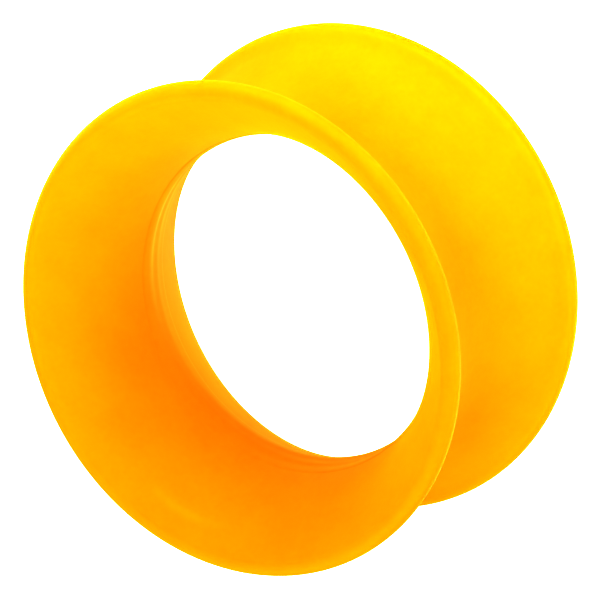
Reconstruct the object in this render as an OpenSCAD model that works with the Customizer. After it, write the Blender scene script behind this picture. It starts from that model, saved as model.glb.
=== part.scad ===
// Ear tunnel: one moulded silicone ring, flared the same way at both ends.
// The ring lies on its lower rim, with its axis along Z and that rim's lowest line at Z = 0.

/* [Seat in the ear] */
// Outer diameter at the waist, where the ear lobe sits
waist_d = 22; // [16:0.5:25]
// Wall thickness at the waist
wall = 1.35; // [0.8:0.05:2]

/* [Flares] */
// Largest diameter, across the round rims
flare_d = 28.6; // [27:0.1:34]
// Overall length along the axis
length = 14.3; // [12:0.1:18]
// Thickness of the fully rounded rim
rim_t = 1.2; // [0.8:0.05:1.6]
// How far the rim stands proud of the curve of the outer groove
rim_lift = 0.16; // [0.05:0.01:0.4]
// Radius of the short outward curl that joins the outer groove to the rim
curl_r = 2; // [1:0.1:3]

/* [Neck band] */
// Height of the narrow straight band round the middle of the hole
band_h = 0.8; // [0.4:0.05:1.6]
// Angle to the axis at which each bell leaves the band, in degrees
bell_angle = 9.5; // [0:0.5:12]

/* [Hidden] */
$fn = 180;

waist_r = waist_d / 2;
bore_r = waist_r - wall;
rim_r = rim_t / 2;

// Centre of the round rim in the half section, measured from the middle of the length
rim_centre = [flare_d / 2 - rim_r, length / 2 - rim_r];

// The bell is the arc of the hole's wall: it starts at the band's edge, at bell_angle to the
// axis, and runs tangent into the rim
band_edge = [bore_r, band_h / 2];
bell_run = rim_centre - band_edge;
bell_r = (bell_run * bell_run - rim_r ^ 2)
    / (2 * (bell_run.x * cos(bell_angle) - bell_run.y * sin(bell_angle) - rim_r));
bell_centre = band_edge + bell_r * [cos(bell_angle), -sin(bell_angle)];

// The saddle is the arc of the outer groove: upright at the waist, it would run into the rim and
// leave rim_lift of it standing proud. The curl is tangent to both, so its centre is one corner
// of a triangle whose other corners are the saddle's centre and the rim's centre.
saddle_run = rim_centre - [waist_r, 0];
sunk_rim_r = rim_r - rim_lift;
saddle_r = (saddle_run * saddle_run - sunk_rim_r ^ 2) / (2 * (saddle_run.x + sunk_rim_r));
saddle_centre = [waist_r + saddle_r, 0];
to_rim = saddle_r + sunk_rim_r;
to_curl = saddle_r - curl_r;
rim_angle = atan2(rim_centre.y, saddle_centre.x - rim_centre.x);
curl_angle = rim_angle - acos((to_curl ^ 2 + to_rim ^ 2 - (curl_r + rim_r) ^ 2) / (2 * to_curl * to_rim));
curl_centre = saddle_centre + to_curl * [-cos(curl_angle), sin(curl_angle)];

function direction(from, to) = (to - from) / norm(to - from);

// Everything outside the bell on one side of the middle, up to where the outer face meets the rim
module bell_section() {
    past_bell = rim_centre + rim_t * direction(bell_centre, rim_centre);
    intersection() {
        translate(bell_centre) circle(r = bell_r);
        polygon([
            [0, band_edge.y],
            [0, past_bell.y],
            past_bell,
            rim_centre,
            curl_centre,
            [curl_centre.x, band_edge.y]
        ]);
    }
}

// What the saddle and one curl take off the outside
module groove_section() {
    past_curl = saddle_centre + 2 * saddle_r * direction(saddle_centre, curl_centre);
    translate(curl_centre) circle(r = curl_r);
    intersection() {
        translate(saddle_centre) circle(r = saddle_r);
        polygon([
            [0, 0],
            [0, past_curl.y],
            past_curl,
            saddle_centre
        ]);
    }
}

// Half section of the ring above the middle of its length, to the right of its axis
module upper_section() {
    difference() {
        union() {
            translate([bore_r, 0]) square([saddle_r, band_edge.y]);
            bell_section();
        }
        groove_section();
    }
    translate(rim_centre) circle(r = rim_r);
}

module ear_tunnel() {
    color("orange") translate([0, 0, length / 2]) rotate_extrude() {
        upper_section();
        mirror([0, 1]) upper_section();
    }
}

ear_tunnel();
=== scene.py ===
"""Ear tunnel: one moulded silicone ring, lying on its lower rim on a white lit table."""

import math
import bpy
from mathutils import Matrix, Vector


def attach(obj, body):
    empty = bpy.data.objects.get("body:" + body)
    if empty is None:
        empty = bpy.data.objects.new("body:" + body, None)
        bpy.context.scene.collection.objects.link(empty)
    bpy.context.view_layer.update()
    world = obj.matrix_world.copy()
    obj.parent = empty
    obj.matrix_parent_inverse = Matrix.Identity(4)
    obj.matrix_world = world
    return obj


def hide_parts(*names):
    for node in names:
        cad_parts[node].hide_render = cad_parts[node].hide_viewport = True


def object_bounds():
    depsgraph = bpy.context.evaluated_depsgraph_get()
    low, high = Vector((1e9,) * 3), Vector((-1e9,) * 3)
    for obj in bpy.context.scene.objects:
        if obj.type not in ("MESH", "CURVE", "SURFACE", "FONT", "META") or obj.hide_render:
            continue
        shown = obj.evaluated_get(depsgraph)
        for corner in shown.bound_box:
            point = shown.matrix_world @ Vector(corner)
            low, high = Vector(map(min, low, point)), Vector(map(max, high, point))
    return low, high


bl_info = {
    "name": "Ear Tunnel",
    "version": (1, 0, 0),
    "blender": (4, 5, 0),
    "location": "View3D > Sidebar > Ear Tunnel",
    "description": "Models a flared silicone ear tunnel around its CAD frame, and its studio",
    "category": "Add Mesh",
}

import bmesh
import bpy
from mathutils import Matrix, Vector

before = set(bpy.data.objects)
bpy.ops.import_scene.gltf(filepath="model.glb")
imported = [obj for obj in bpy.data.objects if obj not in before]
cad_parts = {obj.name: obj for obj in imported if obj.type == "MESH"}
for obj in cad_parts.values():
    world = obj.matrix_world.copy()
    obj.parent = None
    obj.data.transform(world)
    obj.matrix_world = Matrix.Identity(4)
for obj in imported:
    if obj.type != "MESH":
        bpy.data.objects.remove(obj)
CAD_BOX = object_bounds()

MM = 0.001


def millimetres(name, description, default, smallest, largest):
    """A length for the panel: given here in millimetres, kept in metres as Blender keeps it."""
    return bpy.props.FloatProperty(
        name=name,
        description=description,
        default=default * MM,
        min=smallest * MM,
        max=largest * MM,
        precision=5,
        subtype="DISTANCE",
        unit="LENGTH",
    )


def linear_colour(hex_colour):
    """Turns an sRGB hex colour, such as #ffb400, into the linear RGBA that Blender works in."""
    channels = [int(hex_colour[i:i + 2], 16) / 255 for i in (1, 3, 5)]
    return tuple(c / 12.92 if c <= 0.04045 else ((c + 0.055) / 1.055) ** 2.4 for c in channels) + (1.0,)


def colour(name, description, hex_colour):
    """A colour for the panel, given as sRGB hex."""
    return bpy.props.FloatVectorProperty(
        name=name,
        description=description,
        default=linear_colour(hex_colour),
        size=4,
        min=0,
        max=1,
        subtype="COLOR",
    )


class RingSizes(bpy.types.PropertyGroup):
    """The ring's section. The flare and the length come from the frame, and the rest of the CAD's
    values are repeated. The ledge and the set are in this model only."""

    flare_d: millimetres(
        "Flare diameter", "Largest diameter, across the round rims",
        (CAD_BOX[1][0] - CAD_BOX[0][0]) / MM, 27, 34,
    )
    length: millimetres(
        "Length", "Overall length along the axis",
        (CAD_BOX[1][2] - CAD_BOX[0][2]) / MM, 12, 18,
    )
    waist_d: millimetres("Waist diameter", "Outer diameter where the ear lobe sits", 22, 16, 25)
    wall: millimetres("Wall", "Wall thickness at the waist", 1.35, 0.8, 2)
    rim_t: millimetres("Rim thickness", "Thickness of the fully rounded rim", 1.2, 0.8, 1.6)
    rim_lift: millimetres("Rim lift", "How far the rim stands proud of the groove's curve", 0.16, 0.05, 0.4)
    curl_r: millimetres("Curl radius", "Radius of the outward curl that joins groove and rim", 2, 1, 3)
    band_h: millimetres("Neck band", "Height of the straight band round the hole's middle", 0.8, 0.4, 1.6)
    bell_angle: bpy.props.FloatProperty(
        name="Bell angle",
        description="Angle to the axis at which each bell leaves the neck band",
        default=math.radians(9.5),
        min=0,
        max=math.radians(12),
        subtype="ANGLE",
        unit="ROTATION",
    )
    ledge: millimetres("Joint ledge", "Depth of the ledge where the upper core met the band", 0.09, 0, 0.2)
    ledge_reach: millimetres("Ledge reach", "How far the ledge spreads above the joint", 0.4, 0.1, 1)
    set_share: bpy.props.FloatProperty(
        name="Set",
        description="How much of its slight set the soft ring keeps: 0 is truly round",
        default=1.0,
        min=0,
        max=1,
        subtype="FACTOR",
    )


class RingFinish(bpy.types.PropertyGroup):
    """Colour and surface of the silicone."""

    body_colour: colour("Silicone", "Colour of the pigmented silicone", "#f99600")
    # This colour also paints the glow at the lower flare's edge, where it stands in for light coming through
    # the thin rubber
    thin_or_lit_colour: colour("Thin pigment", "Colour where the pigment is mixed a little thinner", "#f9ab00")
    sheen_colour: colour("Sheen", "Tint of the soft highlight on the matte skin", "#ffed27")
    # Real blasted skin is finer, under a pixel here, so its grain is drawn as coarse as it needs to show
    grain: millimetres("Grain", "Width of the grain that a bead-blasted mould leaves", 0.12, 0.05, 1)
    mottle: millimetres("Mottle", "Width of the uneven patches in that grain", 0.3, 0.1, 2)
    clouds: millimetres("Clouds", "Width of the faint clouds in the pigment", 2.5, 0.5, 10)


class StudioSizes(bpy.types.PropertyGroup):
    """Table and contrast."""

    floor_colour: colour("Floor", "Colour of the matte table top", "#f4f4f4")
    floor_glow: bpy.props.FloatProperty(
        name="Floor glow", description="Light that the lit table gives off", default=1.5, min=0, max=5,
    )
    gamma: bpy.props.FloatProperty(
        name="Gamma", description="Below 1 gives the contrast of an edited photograph",
        default=0.5, min=0.2, max=2,
    )


def circle_point(centre, radius, towards):
    """The point of a circle that lies in the direction of another point."""
    return centre + radius * (towards - centre).normalized()


def ring_circles(sizes):
    """The band's edge and the arcs' centres and radii in the upper half section, from mid length."""
    rim_r = sizes.rim_t / 2
    waist_r = sizes.waist_d / 2
    rim = Vector((sizes.flare_d / 2 - rim_r, sizes.length / 2 - rim_r))

    # The bell starts at the band's edge, at bell_angle to the axis, and runs tangent into the rim
    leave = Vector((math.cos(sizes.bell_angle), -math.sin(sizes.bell_angle)))
    band_edge = Vector((waist_r - sizes.wall, sizes.band_h / 2))
    run = rim - band_edge
    bell_r = (run.length_squared - rim_r ** 2) / (2 * (run.dot(leave) - rim_r))
    bell = band_edge + bell_r * leave

    # The saddle is upright at the waist, and the curl is tangent to the saddle and to the rim
    run = rim - Vector((waist_r, 0))
    sunk = rim_r - sizes.rim_lift
    saddle_r = (run.length_squared - sunk ** 2) / (2 * (run.x + sunk))
    saddle = Vector((waist_r + saddle_r, 0))
    to_rim = saddle_r + sunk
    to_curl = saddle_r - sizes.curl_r
    between = (to_curl ** 2 + to_rim ** 2 - (sizes.curl_r + rim_r) ** 2) / (2 * to_curl * to_rim)
    turn = math.atan2(rim.y, saddle.x - rim.x) - math.acos(between)
    curl = saddle + to_curl * Vector((-math.cos(turn), math.sin(turn)))
    return band_edge, (bell, bell_r), (rim, rim_r), curl, (saddle, saddle_r)


def spin_arc(bm, vert, centre, end, clockwise, steps):
    """Spins one vertex about a centre in the XZ plane until it lies in the end's direction."""
    start = Vector((vert.co.x, vert.co.z)) - centre
    finish = end - centre
    turn = math.atan2(start.y, start.x) - math.atan2(finish.y, finish.x)
    turn %= 2 * math.pi
    if not clockwise:
        turn -= 2 * math.pi
    spun = bmesh.ops.spin(
        bm, geom=[vert], cent=(centre.x, 0, centre.y), axis=(0, 1, 0),
        angle=turn, steps=steps, use_merge=False, use_duplicate=False,
    )
    return next(item for item in spun["geom_last"] if isinstance(item, bmesh.types.BMVert))


# Steps of each stretch of the half section, and round the ring. The band and the bell's foot have the
# finest ones, because the ledge lies there. The foot ends this far outward and up from the band's edge.
STEPS = {"band": 12, "bell_foot": 24, "bell": 34, "rim": 24, "curl": 10, "saddle": 28, "round": 256}
BELL_FOOT = Vector((0.1, 1.0)) * MM


def upper_section(bm, sizes, on_wall):
    """Draws the upper half section from the band out to the waist, and marks the hole's wall in it."""
    band_edge, (bell, bell_r), (rim, rim_r), curl, (saddle, saddle_r) = ring_circles(sizes)
    foot_end = circle_point(bell, bell_r, band_edge + BELL_FOOT)
    bell_end = circle_point(bell, bell_r, rim)
    rim_end = circle_point(rim, rim_r, curl)
    curl_end = circle_point(saddle, saddle_r, curl)
    waist = Vector((saddle.x - saddle_r, 0))

    vert = bmesh.ops.create_vert(bm, co=(band_edge.x, 0, 0))["vert"][0]
    for _ in range(STEPS["band"]):
        vert = bmesh.ops.extrude_vert_indiv(bm, verts=[vert])["verts"][0]
        bmesh.ops.translate(bm, verts=[vert], vec=(0, 0, band_edge.y / STEPS["band"]))
    vert = spin_arc(bm, vert, bell, foot_end, True, STEPS["bell_foot"])
    vert = spin_arc(bm, vert, bell, bell_end, True, STEPS["bell"])
    wall_section = bm.verts[:]
    vert = spin_arc(bm, vert, rim, rim_end, True, STEPS["rim"])
    vert = spin_arc(bm, vert, curl, curl_end, False, STEPS["curl"])
    spin_arc(bm, vert, saddle, waist, False, STEPS["saddle"])
    for vert in wall_section:
        vert[on_wall] = 1


def ease(value, low, high):
    """0 below low, 1 above high, and a smooth rise between them."""
    share = min(max((value - low) / (high - low), 0), 1)
    return share * share * (3 - 2 * share)


# How the soft ring has set at each level: its shift along X and Y and how far it is out of round, in
# millimetres, and the direction of its long axis, in degrees from +X towards +Y
SET_LEVELS = {
    "upper_rim": (-0.13, -0.05, 0.03, 20),
    "upper_bell": (-0.07, 0.03, 0.09, -15),
    "band": (0.04, 0.02, 0.14, 15),
    "lower_bell": (0.09, 0.02, 0.16, 25),
    "lower_rim": (0, 0, 0.08, -65),
}
# The hole's wall goes over from the band's set to the bell's from this far short of the joint to this
# far past it
STEP_SHORT = 0.2 * MM
STEP_PAST = 0.25 * MM


def set_offset(level, angle):
    """How far the set moves a point outward, at one level and one direction round the axis."""
    shift_x, shift_y, oval, long_axis = SET_LEVELS[level]
    shift = shift_x * math.cos(angle) + shift_y * math.sin(angle)
    return MM * (shift + oval * math.cos(2 * (angle - math.radians(long_axis))))


def take_set(verts, on_wall, sizes, joint):
    """Moves the ring off round. Each core of the mould sat its own way, so the bells step at the band."""
    for vert in verts:
        height = vert.co.z
        angle = math.atan2(vert.co.y, vert.co.x)
        rim, bell = ("upper_rim", "upper_bell") if height > 0 else ("lower_rim", "lower_bell")
        stepped = ease(abs(height), joint - STEP_SHORT, joint + STEP_PAST) if vert[on_wall] else 0
        neck = set_offset("band", angle) * (1 - stepped) + set_offset(bell, angle) * stepped
        up = min(abs(height) / (sizes.length / 2), 1)
        offset = neck * (1 - up) + set_offset(rim, angle) * up
        vert.co += Vector((math.cos(angle), math.sin(angle), 0)) * offset * sizes.set_share


# The ledge is deepest on the side where the upper core sat furthest out, this far from +X towards +Y,
# and fades out a quarter turn away on both sides. It spreads this many times further below the joint
# than above it, and the power keeps it blunt at the joint.
LEDGE_ANGLE = math.radians(165)
LEDGE_SIDE = Vector((math.cos(LEDGE_ANGLE), math.sin(LEDGE_ANGLE), 0))
LEDGE_TAIL = 3
LEDGE_POWER = 1.3


def ledge_joint(walls, sizes, joint):
    """Sinks a soft ledge into the wall where the upper core met the band."""
    for vert in walls:
        reach = sizes.ledge_reach if vert.co.z > joint else LEDGE_TAIL * sizes.ledge_reach
        across = abs(vert.co.z - joint) / reach
        if across < 1:
            outward = Vector((vert.co.x, vert.co.y, 0)).normalized()
            share = max(outward.dot(LEDGE_SIDE), 0)
            vert.co += outward * sizes.ledge * share * (1 - across ** LEDGE_POWER) ** 2


# How far to each side of mid length the neck is smoothed, and how many times
NECK_REACH = 1.2 * MM
NECK_PASSES = 50


def soften_neck(bm, walls):
    """Rounds the steps at the neck, because soft rubber shows no sharp edge there."""
    neck = [vert for vert in walls if abs(vert.co.z) < NECK_REACH]
    for _ in range(NECK_PASSES):
        bmesh.ops.smooth_vert(bm, verts=neck, factor=0.5, use_axis_x=True, use_axis_y=True, use_axis_z=False)


# Points closer than this are merged
MERGE_GAP = 0.0001 * MM


def ring_mesh(sizes):
    """The whole ring: the upper half section mirrored and spun about the axis, then moved off round."""
    joint = sizes.band_h / 2
    bm = bmesh.new()
    on_wall = bm.verts.layers.int.new("on_wall")
    upper_section(bm, sizes, on_wall)
    bmesh.ops.mirror(
        bm, geom=bm.verts[:] + bm.edges[:], matrix=Matrix.Identity(4), merge_dist=MERGE_GAP, axis="Z",
    )
    bmesh.ops.spin(
        bm, geom=bm.verts[:] + bm.edges[:], cent=(0, 0, 0), axis=(0, 0, 1),
        angle=2 * math.pi, steps=STEPS["round"], use_merge=True, use_duplicate=False,
    )
    bmesh.ops.remove_doubles(bm, verts=bm.verts, dist=MERGE_GAP)
    walls = [vert for vert in bm.verts if vert[on_wall]]
    take_set(bm.verts, on_wall, sizes, joint)
    ledge_joint(walls, sizes, joint)
    soften_neck(bm, walls)
    bm.verts.layers.int.remove(on_wall)
    bmesh.ops.translate(bm, verts=bm.verts, vec=(0, 0, sizes.length / 2))
    bmesh.ops.recalc_face_normals(bm, faces=bm.faces)
    for face in bm.faces:
        face.smooth = True
    mesh = bpy.data.meshes.new("silicone_ring")
    bm.to_mesh(mesh)
    bm.free()
    return mesh


def add_node(tree, kind, settings=None, links=None):
    """Adds a node, sets its attributes and input values, and links its inputs, by name or number."""
    node = tree.nodes.new(kind)
    for key, value in (settings or {}).items():
        if isinstance(key, int) or key in node.inputs:
            node.inputs[key].default_value = value
        else:
            setattr(node, key, value)
    for key, socket in (links or {}).items():
        tree.links.new(socket, node.inputs[key])
    return node


def calculate(tree, operation, first, second=0.0, third=0.0):
    """A Math node's result. Each term is a number or a socket."""
    terms = dict(enumerate((first, second, third)))
    numbers = {key: term for key, term in terms.items() if isinstance(term, (int, float))}
    sockets = {key: term for key, term in terms.items() if key not in numbers}
    return add_node(tree, "ShaderNodeMath", {"operation": operation, **numbers}, sockets).outputs["Value"]


def hump(tree, value, middle, half_width):
    """1 where the value is at its middle, falling smoothly to almost 0 at twice the half width."""
    away = calculate(tree, "DIVIDE", calculate(tree, "SUBTRACT", value, middle), half_width)
    squared = calculate(tree, "MULTIPLY", away, away)
    return calculate(tree, "EXPONENT", calculate(tree, "MULTIPLY", squared, -1.0))


# The flow mark's direction from the axis, how far its ends drop for each squared radian along it, and
# how far below the top its patch stops. Then its line and its patch: the distance below the top and the
# half thickness, in millimetres, and the middle and the half length along it, in radians.
MARK_ANGLE = math.radians(130)
MARK_DROP = 3.3 * MM
MARK_STOP = 0.7 * MM
MARK_LINE = (1.43, 0.05, 0.04, 0.2)
MARK_PATCH = (1.13, 0.24, -0.01, 0.17)


def flow_mark(tree, place, top):
    """The one mark that the moulding left inside the upper lip: a fine line and a paler patch above it."""
    axes = add_node(tree, "ShaderNodeSeparateXYZ", links={"Vector": place}).outputs
    angle = calculate(tree, "ARCTAN2", axes["Y"], axes["X"])
    along = calculate(tree, "SUBTRACT", angle, MARK_ANGLE)
    drop = calculate(tree, "MULTIPLY", calculate(tree, "MULTIPLY", along, along), MARK_DROP)
    height = calculate(tree, "ADD", axes["Z"], drop)
    line, patch = (
        calculate(
            tree, "MULTIPLY",
            hump(tree, height, top - down * MM, thick * MM), hump(tree, along, middle, reach),
        )
        for down, thick, middle, reach in (MARK_LINE, MARK_PATCH)
    )
    inside = calculate(tree, "LESS_THAN", axes["Z"], top - MARK_STOP)
    return line, calculate(tree, "MULTIPLY", patch, inside)


# The painted glow of the lower lip starts this far in from the flare's edge, would be full this far out
# from it, and stays below this height
LIP_IN = 0.9 * MM
LIP_OUT = 0.2 * MM
LIP_TOP = 3 * MM


def painted_lip_glow(tree, place, flare_r):
    """Painted light: rises towards the lower flare's edge and pales the colour there, standing in for light
    that comes through the thin rubber.
    """
    axes = add_node(tree, "ShaderNodeSeparateXYZ", links={"Vector": place}).outputs
    squared = calculate(tree, "MULTIPLY", axes["Y"], axes["Y"])
    squared = calculate(tree, "MULTIPLY_ADD", axes["X"], axes["X"], squared)
    rise = add_node(
        tree, "ShaderNodeMapRange",
        {"interpolation_type": "SMOOTHSTEP", "From Min": flare_r - LIP_IN, "From Max": flare_r + LIP_OUT},
        {"Value": calculate(tree, "SQRT", squared)},
    ).outputs["Result"]
    return calculate(tree, "MULTIPLY", rise, calculate(tree, "LESS_THAN", axes["Z"], LIP_TOP))


# How high the mottle and the flow line stand in the skin, next to 1 for the grain
MOTTLE_RELIEF = 1.4
LINE_RELIEF = -0.8
# How much the mottle and the flow patch thin the pigment, and how much the lower lip's painted glow
# pales it, next to 1 for the clouds, and the slope and the level that bring their sum to where the
# colours change
MOTTLE_THINS = 0.4
PATCH_THINS = 0.7
LIP_GLOW = 0.6
THIN_SLOPE = 0.4
THIN_LEVEL = 0.3
# Up to here in that sum the silicone has its body colour, and at 1 the thin one, which at the lower lip is
# painted glow
BODY_STOP = 0.16


def moulded_silicone(finish, sizes):
    """Pigmented silicone rubber from a bead-blasted mould.

    The blasted skin breaks every highlight into a soft speckled sheen, the pigment keeps even the
    shadows a full orange, and slight clouds show where it is mixed a little thinner. The lower flare's
    edge is painted paler, a painted glow that stands in for light coming through the thin rubber.
    Hardly any light is mirrored. The skin's gloss is the yellow Sheen instead, which glows where the
    wall is seen at a slant, because a mirrored highlight turns white there whatever its tint.
    """
    material = bpy.data.materials.new("moulded_silicone_rubber")
    material.use_nodes = True
    tree = material.node_tree
    tree.nodes.clear()
    place = add_node(tree, "ShaderNodeTexCoord").outputs["Object"]
    line, patch = flow_mark(tree, place, sizes.length)
    # Painted light: a mask that pales the base colour at the lower flare's edge, as though light came
    # through the rubber
    lip = painted_lip_glow(tree, place, sizes.flare_d / 2)

    grain, mottle, clouds = (
        add_node(
            tree, "ShaderNodeTexNoise",
            {"Scale": 1 / width, "Detail": detail, "Roughness": roughness},
            {"Vector": place},
        ).outputs["Fac"]
        for width, detail, roughness in (
            (finish.grain, 2.0, 0.6),
            (finish.mottle, 2.0, 0.5),
            (finish.clouds, 4.0, 0.6),
        )
    )
    relief = calculate(tree, "MULTIPLY_ADD", mottle, MOTTLE_RELIEF, grain)
    relief = calculate(tree, "MULTIPLY_ADD", line, LINE_RELIEF, relief)
    bump = add_node(
        tree, "ShaderNodeBump",
        {"Strength": 0.5, "Distance": 0.01 * MM},
        {"Height": relief},
    )

    thin = clouds
    # The clouds, the mottle and the flow patch are the pigment's own tone; the lower lip's share is painted
    # glow
    for source, share in ((mottle, MOTTLE_THINS), (patch, PATCH_THINS), (lip, LIP_GLOW)):
        thin = calculate(tree, "MULTIPLY_ADD", source, share, thin)
    thin = calculate(tree, "MULTIPLY_ADD", thin, THIN_SLOPE, THIN_LEVEL)
    pigment = add_node(tree, "ShaderNodeValToRGB", links={"Fac": thin})
    body_stop, thin_or_lit_stop = pigment.color_ramp.elements
    body_stop.position = BODY_STOP
    body_stop.color = finish.body_colour
    thin_or_lit_stop.color = finish.thin_or_lit_colour
    shader = add_node(
        tree, "ShaderNodeBsdfPrincipled",
        {
            "Roughness": 0.6,
            "IOR": 1.41,
            "Specular IOR Level": 0.08,
            "Specular Tint": tuple(finish.sheen_colour),
            "Sheen Weight": 0.5,
            "Sheen Roughness": 0.5,
            "Sheen Tint": tuple(finish.sheen_colour),
        },
        {"Base Color": pigment.outputs["Color"], "Normal": bump.outputs["Normal"]},
    )
    add_node(tree, "ShaderNodeOutputMaterial", links={"Surface": shader.outputs["BSDF"]})
    return material


def link_object(name, data):
    """A new object at the origin, unturned and unscaled, in the scene's own collection."""
    thing = bpy.data.objects.new(name, data)
    bpy.context.scene.collection.objects.link(thing)
    return thing


class EARTUNNEL_OT_mould_ring(bpy.types.Operator):
    """Model the silicone ring and dress it, in place of its CAD node"""

    bl_idname = "ear_tunnel.mould_ring"
    bl_label = "Mould Ring"

    def execute(self, context):
        scene = context.scene
        sizes = scene.ear_tunnel_sizes
        ring = link_object("silicone_ring", ring_mesh(sizes))
        ring.data.materials.append(moulded_silicone(scene.ear_tunnel_finish, sizes))
        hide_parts("ear_tunnel")
        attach(ring, "root")
        return {"FINISHED"}


# Softboxes: azimuth and elevation in degrees, distance and diameter in millimetres, and watts.
# Azimuth 0 is in front, towards -Y, and 90 is towards +X. The far ones fill, the close ones give the
# crests and the lips their falloff, and the low and under ones shine up through the lit table.
SOFTBOXES = {
    "far_top": (0, 66, 500, 200, 1.45),
    "far_front_left": (315, 27, 500, 200, 0.9),
    "far_left": (285, 10, 500, 160, 1.5),
    "far_back_left": (255, 27, 500, 200, 1.0),
    "far_back": (195, 27, 500, 200, 1.45),
    "close_front_right": (40, 45, 90, 60, 0.033),
    "close_right": (75, 10, 90, 48, 0.07),
    "close_back_right": (120, 45, 90, 60, 0.03),
    "low_front": (15, -5, 90, 48, 0.06),
    "low_back_right": (135, -5, 90, 48, 0.05),
    "under_front": (0, -60, 90, 75, 0.031),
    "under_back_right": (120, -60, 90, 75, 0.031),
    "under_back_left": (240, -60, 90, 75, 0.058),
    "under_left": (300, -60, 90, 75, 0.043),
}


def from_angles(azimuth, elevation):
    """Unit vector towards an azimuth and elevation in degrees."""
    turn, rise = math.radians(azimuth), math.radians(elevation)
    return Vector((math.sin(turn) * math.cos(rise), -math.cos(turn) * math.cos(rise), math.sin(rise)))


def add_softbox(name, centre, azimuth, elevation, distance, diameter, watts):
    """A round softbox that points at the ring."""
    lamp = bpy.data.lights.new(name, "AREA")
    lamp.shape = "DISK"
    lamp.size = diameter * MM
    lamp.energy = watts
    thing = link_object(name, lamp)
    thing.visible_camera = False
    away = from_angles(azimuth, elevation)
    thing.location = centre + away * distance * MM
    thing.rotation_euler = away.to_track_quat("Z", "Y").to_euler()


# The photograph's view: how far the camera leans from looking straight down, how far the picture is
# turned, how many flare radii away the camera is, and how many pixels one such radius and the picture
# take. The ring's middle lies this many pixels right of the picture's middle and above it.
VIEW_LEAN = math.radians(36.06)
VIEW_TURN = math.radians(116.55)
VIEW_DISTANCE = 30.22
FLARE_PIXELS = 253.65
PICTURE_PIXELS = 600
RING_RIGHT = -1.08
RING_UP = 2.71
SENSOR_MM = 36


def add_camera(centre, flare_r):
    """From 54 degrees up, turned until the ring's axis runs from lower left to upper right."""
    back = Vector((0, -math.sin(VIEW_LEAN), math.cos(VIEW_LEAN)))
    level_up = Vector((0, math.cos(VIEW_LEAN), math.sin(VIEW_LEAN)))
    level_right = level_up.cross(back)
    up = math.cos(VIEW_TURN) * level_up + math.sin(VIEW_TURN) * level_right
    right = math.cos(VIEW_TURN) * level_right - math.sin(VIEW_TURN) * level_up
    pixel = flare_r / FLARE_PIXELS
    lens = bpy.data.cameras.new("camera")
    lens.sensor_width = SENSOR_MM
    lens.lens = VIEW_DISTANCE * FLARE_PIXELS / PICTURE_PIXELS * SENSOR_MM
    lens.clip_start = 10 * MM
    thing = link_object("camera", lens)
    thing.matrix_world = Matrix((right, up, back)).transposed().to_4x4()
    thing.location = centre - (right * RING_RIGHT + up * RING_UP) * pixel + back * VIEW_DISTANCE * flare_r
    bpy.context.scene.camera = thing


def lit_acrylic(studio):
    """Opal acrylic over a light box: matte, and bright enough to be the picture's white."""
    material = bpy.data.materials.new("opal_acrylic_table")
    material.use_nodes = True
    tree = material.node_tree
    tree.nodes.clear()
    shader = add_node(
        tree, "ShaderNodeBsdfPrincipled",
        {
            "Base Color": tuple(studio.floor_colour),
            "Roughness": 0.8,
            "Specular IOR Level": 0.0,
            "Emission Color": (1.0, 1.0, 1.0, 1.0),
            "Emission Strength": studio.floor_glow,
        },
    )
    add_node(tree, "ShaderNodeOutputMaterial", links={"Surface": shader.outputs["BSDF"]})
    return material


# Half the width of the table top, in metres: enough to fill the picture
TABLE_REACH = 3.0


def add_table(studio):
    """The lit table top. The camera alone sees it, so that the low softboxes shine up through it."""
    bm = bmesh.new()
    bmesh.ops.create_grid(bm, x_segments=1, y_segments=1, size=TABLE_REACH)
    mesh = bpy.data.meshes.new("table_top")
    bm.to_mesh(mesh)
    bm.free()
    table = link_object("table_top", mesh)
    table.data.materials.append(lit_acrylic(studio))
    for ray in ("diffuse", "glossy", "transmission", "shadow"):
        setattr(table, "visible_" + ray, False)


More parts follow.
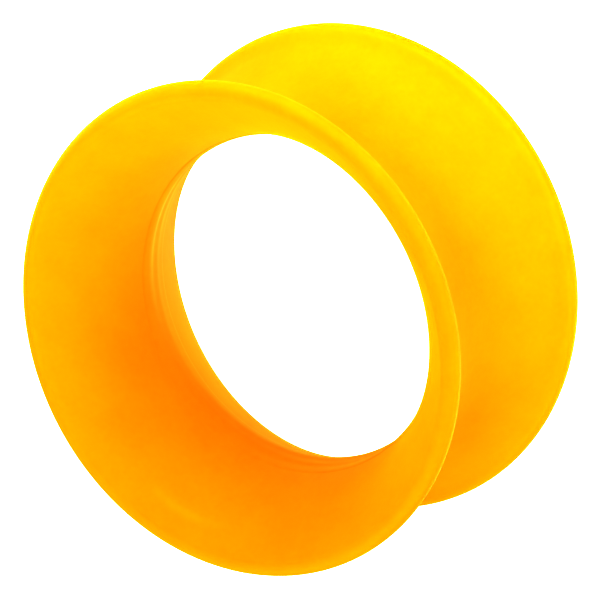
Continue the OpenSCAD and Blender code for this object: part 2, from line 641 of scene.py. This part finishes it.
class EARTUNNEL_OT_build_studio(bpy.types.Operator):
    """Lay the lit white table under the ring, and set up the softboxes and the camera"""

    bl_idname = "ear_tunnel.build_studio"
    bl_label = "Build Studio"

    def execute(self, context):
        scene = context.scene
        sizes, studio = scene.ear_tunnel_sizes, scene.ear_tunnel_studio
        centre = Vector((0, 0, sizes.length / 2))
        add_table(studio)
        for name, (azimuth, elevation, distance, diameter, watts) in SOFTBOXES.items():
            add_softbox(name, centre, azimuth, elevation, distance, diameter, watts)
        add_camera(centre, sizes.flare_d / 2)

        # All the light comes from the softboxes
        world = bpy.data.worlds.new("studio")
        world.use_nodes = True
        world.node_tree.nodes["Background"].inputs["Strength"].default_value = 0.0
        scene.world = world
        scene.view_settings.view_transform = "Standard"
        scene.view_settings.gamma = studio.gamma
        return {"FINISHED"}


class EARTUNNEL_PT_panel(bpy.types.Panel):
    """Sizes, colours and the two steps, in the sidebar"""

    bl_idname = "EARTUNNEL_PT_panel"
    bl_label = "Ear Tunnel"
    bl_space_type = "VIEW_3D"
    bl_region_type = "UI"
    bl_category = "Ear Tunnel"

    def draw(self, context):
        scene = context.scene
        for group in (scene.ear_tunnel_sizes, scene.ear_tunnel_finish, scene.ear_tunnel_studio):
            box = self.layout.box()
            for name in group.__annotations__:
                box.prop(group, name)
        self.layout.operator(EARTUNNEL_OT_mould_ring.bl_idname)
        self.layout.operator(EARTUNNEL_OT_build_studio.bl_idname)


CLASSES = (
    RingSizes,
    RingFinish,
    StudioSizes,
    EARTUNNEL_OT_mould_ring,
    EARTUNNEL_OT_build_studio,
    EARTUNNEL_PT_panel,
)
GROUPS = {
    "ear_tunnel_sizes": RingSizes,
    "ear_tunnel_finish": RingFinish,
    "ear_tunnel_studio": StudioSizes,
}


def register():
    for cls in CLASSES:
        bpy.utils.register_class(cls)
    for name, group in GROUPS.items():
        setattr(bpy.types.Scene, name, bpy.props.PointerProperty(type=group))


def unregister():
    for name in GROUPS:
        delattr(bpy.types.Scene, name)
    for cls in reversed(CLASSES):
        bpy.utils.unregister_class(cls)


def main():
    register()
    bpy.ops.ear_tunnel.mould_ring()
    bpy.ops.ear_tunnel.build_studio()


if __name__ == "__main__":
    main()
